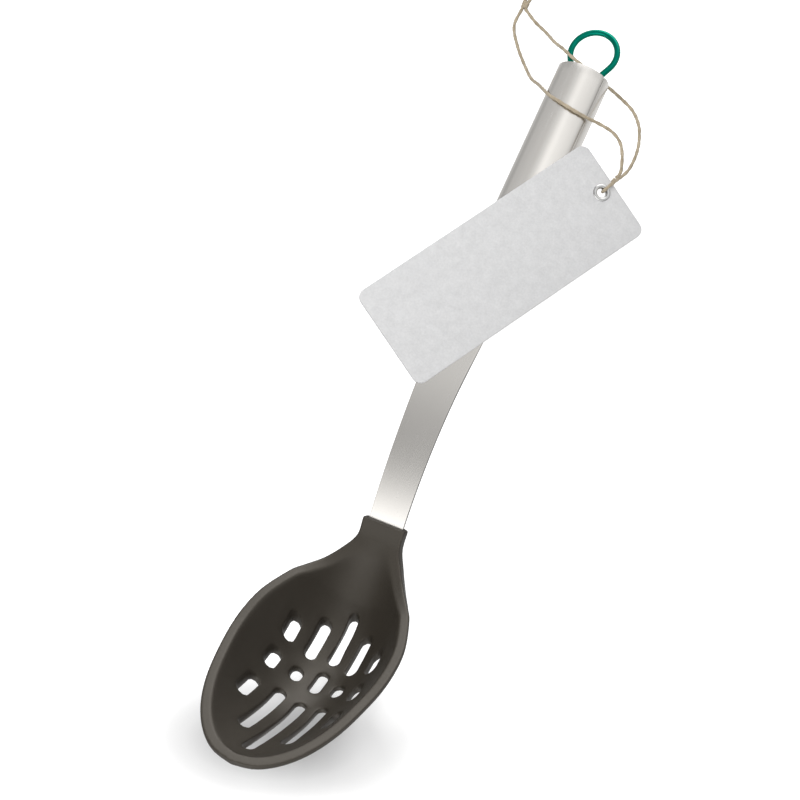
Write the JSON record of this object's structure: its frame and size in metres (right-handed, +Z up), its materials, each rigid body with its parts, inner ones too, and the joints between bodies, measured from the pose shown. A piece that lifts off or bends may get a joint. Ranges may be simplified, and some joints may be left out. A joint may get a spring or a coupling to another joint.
{
  "type": "slotted_serving_spoon",
  "caption": "Slotted serving spoon: dark nylon bowl with long drain slots on a bent steel shaft, round hollow steel handle, green hanging loop, card tag on twine.",
  "frame": {"origin": "bottom centre of the spoon's own box, on the surface that it lies on; the tag and its twine aren't counted", "axes": "+Z up, with the spoon lying on its back; -Y towards the bowl's tip and +Y towards the hanging loop; +X to the right, seen from above with the loop away"},
  "size_m": [0.0956, 0.3645, 0.0753],
  "materials": {
    "nylon": "dark grey-brown glass-filled nylon with a soft satin skin",
    "steel": "satin stainless sheet, finely brushed along its length",
    "spring_wire": "drawn stainless wire",
    "green_sleeve": "glossy green plastic skin on the wire",
    "tag_card": "thick pale grey board, faintly mottled, both faces bare",
    "eyelet_metal": "bright nickel-plated eyelet",
    "twine": "two-ply natural jute twine with loose fibres"
  },
  "bodies": {
    "spoon": {"bowl": "nylon", "shaft_front_shell": "steel", "back_shell": "steel", "loop_wire": "spring_wire", "loop_sleeve": "green_sleeve", "twine_over_handle": "twine", "twine_through_loop": "twine", "knot": "twine"},
    "tag": {"tag": "tag_card", "eyelet": "eyelet_metal", "eyelet_washer": "eyelet_metal", "twine_through_eyelet": "twine"}
  },
  "joints": [
    {"name": "tag_swing", "type": "hinge", "parent": "spoon", "child": "tag", "pos_m": [0.03194, 0.11191, 0.01125], "axis": [0.454, 0.0531, 0.8894], "range_deg": [-30, 30]}
  ]
}
